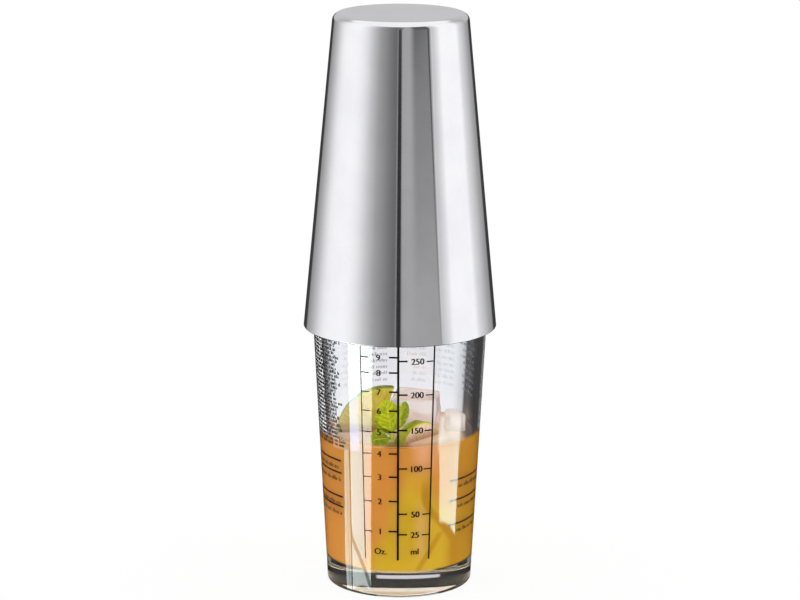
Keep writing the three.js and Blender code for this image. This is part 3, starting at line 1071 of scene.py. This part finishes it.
class SHAKER_OT_drink(bpy.types.Operator):
    """Fill the glass with the mixed drink"""
    bl_idname = "shaker.drink"
    bl_label = "Drink"

    def execute(self, context):
        settings = context.scene.shaker_drink
        glass = context.scene.shaker_glass
        level = DRINK_HIGH.z
        bottom = glass.floor - settings.overlap
        wall = glass.wall - settings.overlap
        rise = settings.meniscus
        edge = level + rise
        edge_radius = glass_radius(edge) - wall
        drink = turned("drink_body", (
            (0, bottom, 0),
            (glass_radius(bottom) - wall, bottom, glass.floor_fillet),
            (edge_radius, edge, 0),
            (edge_radius - MENISCUS_STEEP_IN * rise, level + MENISCUS_STEEP_UP * rise, 0),
            (edge_radius - MENISCUS_END_IN * rise, level, rise),
            (0, level, 0),
        ))
        dress(drink, mixed_drink(settings, level, bottom), "drink", GLASS_BODY, "drink")
        return {"FINISHED"}


def ice_block(name, low, high, turn, seed, settings):
    """A melted block of ice that fills a node's box when turned."""
    centre = (low + high) / 2
    reach = high - low
    cosine = abs(math.cos(turn))
    sine = abs(math.sin(turn))
    spread = cosine ** 2 - sine ** 2
    width = (reach.x * cosine - reach.y * sine) / spread
    depth = (reach.y * cosine - reach.x * sine) / spread
    block = new_piece(name, bpy.ops.mesh.primitive_cube_add, size=1, scale=(width, depth, reach.z))
    with editing(block):
        bpy.ops.mesh.bevel(offset=settings.edge, segments=ICE_EDGE_STEPS, affect="EDGES")
        bpy.ops.mesh.select_all(action="SELECT")
        bpy.ops.mesh.subdivide(number_cuts=ICE_CUTS)
        close_seams()
    subdivide_smooth(block, 1)
    outwards = [vertex.normal.copy() for vertex in block.data.vertices]
    for vertex, outward in zip(block.data.vertices, outwards):
        place = vertex.co * MELT_SCALE + Vector((seed, 0, 0))
        melt = noise.noise(place) + 0.5 * noise.noise(place * MELT_FINE)
        vertex.co -= outward * settings.melt * (0.5 + melt)
    block.rotation_euler.z = turn
    block.location = centre
    apply_place(block)
    shade_smooth(block, math.pi)
    return block


class SHAKER_OT_ice(bpy.types.Operator):
    """Model both pieces of ice"""
    bl_idname = "shaker.ice"
    bl_label = "Ice"

    def execute(self, context):
        settings = context.scene.shaker_ice
        material = clear_ice(settings, DRINK_HIGH.z)
        blocks = (
            ("large", LARGE_ICE_LOW, LARGE_ICE_HIGH, LARGE_ICE_TURN, LARGE_ICE_SEED),
            ("small", SMALL_ICE_LOW, SMALL_ICE_HIGH, SMALL_ICE_TURN, SMALL_ICE_SEED),
        )
        for name, *place in blocks:
            block = ice_block("ice_" + name, *place, settings)
            dress(block, material, "ice", GLASS_BODY, "ice_cube_" + name)
        return {"FINISHED"}


def lime_slice(name, radius, thickness, settings):
    """A slice of lime in the XZ plane: rind, pith and sunken flesh segments on both faces."""
    piece = new_piece(name, bpy.ops.mesh.primitive_cylinder_add, vertices=LIME_SIDES, radius=radius,
                      depth=thickness, end_fill_type="TRIFAN", rotation=UPRIGHT)
    sector = math.tau / settings.segments
    with editing(piece):
        pick(piece, "FACE", lambda face: abs(face.normal.y) > FACE_ON)
        bpy.ops.mesh.inset(thickness=settings.rind)
        bpy.ops.mesh.inset(thickness=settings.pith)
        flesh_radius = radius - settings.rind - settings.pith
        for index in range(settings.segments):
            def in_sector(face):
                middle = face.calc_center_median()
                reach = math.hypot(middle.x, middle.z)
                angle = math.atan2(middle.z, middle.x) % math.tau
                on_face = abs(face.normal.y) > FACE_ON and reach < flesh_radius * FLESH_SHARE
                return on_face and int(angle / sector) == index
            pick(piece, "FACE", in_sector)
            bpy.ops.mesh.inset(thickness=settings.membrane / 2)
            bpy.ops.transform.shrink_fatten(value=-FLESH_SINK)

        def on_outer_edge(edge):
            return all(abs(vertex.co.y) > thickness * NEARLY_HALF
                       and math.hypot(vertex.co.x, vertex.co.z) > radius - EDGE_SLACK
                       for vertex in edge.verts)

        pick(piece, "EDGE", on_outer_edge)
        bpy.ops.mesh.bevel(offset=LIME_EDGE, segments=LIME_EDGE_STEPS, affect="EDGES")
    return piece


def place_slice(piece, centre, turn):
    """Turn a slice about the upright axis, move it to its place and smooth it."""
    subdivide_smooth(piece, 1)
    piece.rotation_euler.z = turn
    piece.location = centre
    apply_place(piece)
    shade_smooth(piece, FRUIT_SMOOTH_ANGLE)


class SHAKER_OT_lime(bpy.types.Operator):
    """Cut the lime's half slice and wheel"""
    bl_idname = "shaker.lime"
    bl_label = "Lime"

    def execute(self, context):
        settings = context.scene.shaker_lime
        thickness = HALF_SLICE_HIGH.y - HALF_SLICE_LOW.y
        radius = settings.half_radius
        depth = (HALF_SLICE_LOW.y + HALF_SLICE_HIGH.y) / 2
        centre = Vector((HALF_SLICE_LOW.x + radius, depth, HALF_SLICE_HIGH.z - radius))
        across = Vector((math.cos(HALF_SLICE_LEAN), 0, -math.sin(HALF_SLICE_LEAN)))
        half = lime_slice("lime_half", radius, thickness, settings)
        with editing(half):
            bpy.ops.mesh.bisect(plane_co=across * HALF_SLICE_CUT, plane_no=across, use_fill=True,
                                clear_outer=True)
            bpy.ops.mesh.select_all(action="SELECT")
            bpy.ops.mesh.fill_holes(sides=0)
            close_seams()
        place_slice(half, centre, 0)
        fruit = lime_fruit("lime_half_flesh", settings, centre, 0, radius,
                           settings.flesh_colour, settings.flesh_deep)
        dress(half, fruit, "lime", GLASS_BODY, "lime_half_slice")

        wheel_centre = (WHEEL_LOW + WHEEL_HIGH) / 2
        wheel = lime_slice("lime_round", settings.wheel_radius, settings.wheel_thickness, settings)
        place_slice(wheel, wheel_centre, WHEEL_TURN)
        fruit = lime_fruit("lime_round_flesh", settings, wheel_centre, WHEEL_TURN, settings.wheel_radius,
                           settings.wheel_flesh, settings.wheel_deep)
        dress(wheel, fruit, "lime", GLASS_BODY, "lime_wheel")
        return {"FINISHED"}


def stem_point(share):
    """A place on the stem's route, by its share of the length."""
    route = STEM_ROUTE
    places = (2 * route[0] - route[1], *route, 2 * route[-1] - route[-2])
    spans = len(route) - 1
    index = min(int(share * spans), spans - 1)
    t = share * spans - index
    a, b, c, d = places[index:index + 4]
    return 0.5 * (2 * b + (c - a) * t + (2 * a - 5 * b + 4 * c - d) * t ** 2
                  + (3 * b - a - 3 * c + d) * t ** 3)


def leaf_blade(name, share, tip, width, facing, settings):
    """A toothed, quilted mint leaf from the stem to its tip."""
    foot = stem_point(share)
    reach = (tip - foot).length
    along = (tip - foot).normalized()
    across = along.cross(facing).normalized()
    up = across.cross(along)
    leaf = new_piece(name, bpy.ops.mesh.primitive_grid_add, x_subdivisions=LEAF_COLUMNS,
                     y_subdivisions=LEAF_ROWS, size=1)
    stalk_share = settings.stalk / reach
    for vertex in leaf.data.vertices:
        side = vertex.co.x * 2
        down = vertex.co.y + 0.5
        blade = max(0.0, (down - stalk_share) / (1 - stalk_share))
        half = width / 2 * math.sin(math.pi * min(blade, 1.0) ** 0.95) ** 0.5
        half = max(half, LEAF_FOOT * (1 - blade))
        tooth = LEAF_TOOTH * (1 - (blade * LEAF_TEETH) % 1.0) * abs(side) ** 5
        rise = blade * LEAF_VEINS - abs(side) * LEAF_VEIN_RISE
        puff = abs(math.sin(rise * math.pi)) * math.sin(math.pi * min(abs(side) * 1.1, 1.0)) ** 0.5
        fold = abs(side) ** 1.4 * LEAF_FOLD * half
        curl = -LEAF_CURL * reach * (blade - 0.5) ** 2 * blade
        height = settings.quilt * puff * math.sin(math.pi * blade) + fold + curl
        vertex.co = (side * half * (1 + tooth), down * reach, height)
    finish_with(leaf, "SOLIDIFY", thickness=settings.leaf_thickness, offset=0.0)
    subdivide_smooth(leaf, 1)
    leaf.matrix_world = Matrix.Translation(foot) @ Matrix((across, along, up)).transposed().to_4x4()
    apply_place(leaf)
    with editing(leaf):
        bpy.ops.mesh.normals_make_consistent(inside=False)
    shade_smooth(leaf, LEAF_SMOOTH_ANGLE)
    return leaf


class SHAKER_OT_mint(bpy.types.Operator):
    """Grow the mint sprig: the stem and its leaves"""
    bl_idname = "shaker.mint"
    bl_label = "Mint"

    def execute(self, context):
        settings = context.scene.shaker_mint
        stem = new_piece("stem", bpy.ops.mesh.primitive_circle_add, vertices=STEM_SIDES, fill_type="NGON",
                         radius=settings.stem_radius, location=stem_point(0))
        with editing(stem):
            for step in range(1, STEM_STEPS + 1):
                move = stem_point(step / STEM_STEPS) - stem_point((step - 1) / STEM_STEPS)
                bpy.ops.mesh.extrude_region_move(TRANSFORM_OT_translate={"value": move})
                if step % STEM_TAPER_EVERY == 0:
                    bpy.ops.transform.resize(value=STEM_TAPER)
            close_seams()
        shade_smooth(stem, FRUIT_SMOOTH_ANGLE)
        dress(stem, mint_stalk(settings), "mint_stem", GLASS_BODY, "mint_stem")
        material = mint_leaf(settings)
        for node, share_of_route, tip, width, facing in LEAVES:
            leaf = leaf_blade(node.replace("mint_", ""), share_of_route, tip, width, facing, settings)
            dress(leaf, material, "mint_leaf", GLASS_BODY, node)
        return {"FINISHED"}


def wrap_print(piece, angle):
    """Lay a print, drawn flat in the XZ plane with its face to -Y, on the glass at an angle."""
    for vertex in piece.data.vertices:
        x, y, z = vertex.co
        radius = glass_radius(z)
        turn = angle + x / radius
        vertex.co = ((radius - y) * math.sin(turn), -(radius - y) * math.cos(turn), z)


def stamp(piece, places):
    """Repeat a flat print, once for each place and size along X and Z."""
    sheet = bmesh.new()
    for x, z, width, height in places:
        before = len(sheet.verts)
        sheet.from_mesh(piece.data)
        sheet.verts.ensure_lookup_table()
        for vertex in sheet.verts[before:]:
            vertex.co.x = x + vertex.co.x * width
            vertex.co.z = z + vertex.co.z * height
    sheet.to_mesh(piece.data)
    sheet.free()


def ink_bars(name, bars, angle, settings, steps):
    """Thin raised bars laid on the glass, each given as left, right, low and high in millimetres."""
    piece = new_piece(name, bpy.ops.mesh.primitive_grid_add, x_subdivisions=steps, y_subdivisions=1,
                      size=1, rotation=UPRIGHT)
    finish_with(piece, "SOLIDIFY", thickness=settings.ink_height * INK_SOLID, offset=INK_OFFSET)
    stamp(piece, [((left + right) / 2 * MM, (low + high) / 2 * MM, (right - left) * MM, (high - low) * MM)
                  for left, right, low, high in bars])
    wrap_print(piece, angle)
    return piece


def ink_text(words, angle, height, settings):
    """Raised lettering laid on the glass, centred at an angle and a height in millimetres."""
    bpy.ops.object.select_all(action="DESELECT")
    bpy.ops.object.text_add(rotation=UPRIGHT)
    text = bpy.context.object
    text.data.body = words
    text.data.size = settings.digit_size
    text.data.align_x = "CENTER"
    text.data.align_y = "CENTER"
    text.data.extrude = settings.ink_height
    bpy.ops.object.convert(target="MESH")
    text = bpy.context.object
    text.location.z = height * MM
    apply_place(text)
    stamp(text, [(shift, 0, 1, 1) for shift in (-settings.boldness, 0, settings.boldness)])
    wrap_print(text, angle)
    return text


def word_strokes(draw, left, right, height, tall, thick):
    """A line of short upright strokes between two places, in groups like words."""
    strokes = []
    x = left
    while x < right:
        for index in range(draw.randint(*WORD_LENGTHS)):
            if x > right:
                break
            high = tall * draw.choice(STROKE_HEIGHTS)
            strokes.append((x, x + thick, height, height + high))
            x += draw.uniform(*STROKE_SPACING)
        x += WORD_GAP
    return strokes


def ruled_words(draw, heights, rule, words):
    """Rules with a line of strokes under each, both given by their left and right ends."""
    rows = []
    for height in heights:
        rows.append((*rule, height, height + RULE_THICKNESS))
        rows += word_strokes(draw, *words, height - RULE_TO_WORDS, RULED_STROKE, STROKE_WIDTH)
    return rows


class SHAKER_OT_scale(bpy.types.Operator):
    """Print the measuring scale and the plain rules on the glass"""
    bl_idname = "shaker.scale"
    bl_label = "Measuring scale"

    def execute(self, context):
        settings = context.scene.shaker_scale
        ink = screen_ink(settings)
        tick = settings.tick_length / MM
        drop = settings.drop / MM
        half = settings.centre_width / MM / 2
        ounces = OUNCE_HEIGHTS.values()
        millilitres = MILLILITRE_HEIGHTS.values()

        def line(width):
            return [(-width / MM / 2, width / MM / 2, LINE_FOOT, LINE_TOP)]

        def ticks(heights, left, right, thick, drop=0):
            return [(left, right, height - drop - thick / 2, height - drop + thick / 2)
                    for height in heights]

        left_bars = line(settings.left_width)
        left_bars += ticks(ounces, 0, tick * LEFT_TICK_STRETCH, LEFT_TICK, drop)
        centre_bars = line(settings.centre_width) + ticks(ounces, -tick - half, 0, OUNCE_TICK)
        centre_bars += ticks(millilitres, 0, tick + half, MILLILITRE_TICK)
        right_bars = line(settings.right_width) + ticks(millilitres, -tick, 0, RIGHT_TICK, drop)
        lines = [
            ink_bars("left_line", left_bars, LEFT_LINE, settings, BAR_STEPS),
            ink_bars("centre_line", centre_bars, CENTRE_LINE, settings, BAR_STEPS),
            ink_bars("right_line", right_bars, RIGHT_LINE, settings, BAR_STEPS),
        ]
        dress(join_pieces("scale_lines", lines), ink, "scale_print", GLASS_BODY)

        columns = ((OUNCE_COLUMN, OUNCE_HEIGHTS), (MILLILITRE_COLUMN, MILLILITRE_HEIGHTS))
        digits = [ink_text(str(number), angle, height - drop, settings)
                  for angle, heights in columns for number, height in heights.items()]
        digits.append(ink_text("Oz.", OUNCE_COLUMN, UNIT_HEIGHT, settings))
        digits.append(ink_text("ml", MILLILITRE_COLUMN, UNIT_HEIGHT, settings))
        dress(join_pieces("scale_numbers", digits), ink, "scale_print", GLASS_BODY)

        draw = random.Random(STROKE_SEED)
        rows = ruled_words(draw, LEFT_RULES, LEFT_RULE_ENDS, LEFT_WORD_ENDS)
        for height in LEFT_ROW_HEIGHTS:
            end = draw.uniform(*LEFT_ROW_END_RANGE)
            rows += word_strokes(draw, LEFT_ROW_START, end, height, ROW_STROKE, ROW_STROKE_WIDTH)
        left_rules = ink_bars("left_rules", rows, LEFT_RULES_TURN, settings, RULE_STEPS)
        rows = ruled_words(draw, RIGHT_RULES, RIGHT_RULE_ENDS, RIGHT_WORD_ENDS)
        right_rules = ink_bars("right_rules", rows, RIGHT_RULES_TURN, settings, RULE_STEPS)
        rows = []
        for left, right, thick in BACK_COLUMNS:
            for height in BACK_ROW_HEIGHTS:
                end = right + draw.uniform(*BACK_ROW_END_RANGE)
                rows += word_strokes(draw, left, end, height, ROW_STROKE, thick)
        back_rules = ink_bars("back_rows", rows, BACK_ROWS_TURN, settings, 1)
        dress(join_pieces("printed_rows", [left_rules, right_rules]), ink, "scale_print", GLASS_BODY)
        dress(back_rules, thin_ink(settings), "scale_print", GLASS_BODY)
        return {"FINISHED"}


# Add-on

PIECES = {
    "shaker_stage": (ShakerStageSettings, SHAKER_OT_stage),
    "shaker_glass": (ShakerGlassSettings, SHAKER_OT_mixing_glass),
    "shaker_tin": (ShakerTinSettings, SHAKER_OT_tin),
    "shaker_drink": (ShakerDrinkSettings, SHAKER_OT_drink),
    "shaker_ice": (ShakerIceSettings, SHAKER_OT_ice),
    "shaker_lime": (ShakerLimeSettings, SHAKER_OT_lime),
    "shaker_mint": (ShakerMintSettings, SHAKER_OT_mint),
    "shaker_scale": (ShakerScaleSettings, SHAKER_OT_scale),
}


class SHAKER_PT_panel(bpy.types.Panel):
    """Lists the shaker's pieces with their settings"""
    bl_idname = "SHAKER_PT_panel"
    bl_label = "Boston Shaker"
    bl_space_type = "VIEW_3D"
    bl_region_type = "UI"
    bl_category = "Shaker"

    def draw(self, context):
        for name, (group, operator) in PIECES.items():
            box = self.layout.box()
            box.operator(operator.bl_idname)
            settings = getattr(context.scene, name)
            for key in group.bl_rna.properties.keys():
                if key not in ("name", "rna_type"):
                    box.prop(settings, key)


def register():
    """Register the settings, the operators and the panel."""
    for name, (group, operator) in PIECES.items():
        bpy.utils.register_class(group)
        setattr(bpy.types.Scene, name, bpy.props.PointerProperty(type=group))
        bpy.utils.register_class(operator)
    bpy.utils.register_class(SHAKER_PT_panel)


def unregister():
    """Take the panel, the operators and the settings away again."""
    bpy.utils.unregister_class(SHAKER_PT_panel)
    for name, (group, operator) in PIECES.items():
        bpy.utils.unregister_class(operator)
        delattr(bpy.types.Scene, name)
        bpy.utils.unregister_class(group)


def main():
    """Make every piece in order."""
    register()
    bpy.ops.shaker.stage()
    bpy.ops.shaker.mixing_glass()
    bpy.ops.shaker.tin()
    bpy.ops.shaker.drink()
    bpy.ops.shaker.ice()
    bpy.ops.shaker.lime()
    bpy.ops.shaker.mint()
    bpy.ops.shaker.scale()


if __name__ == "__main__":
    main()
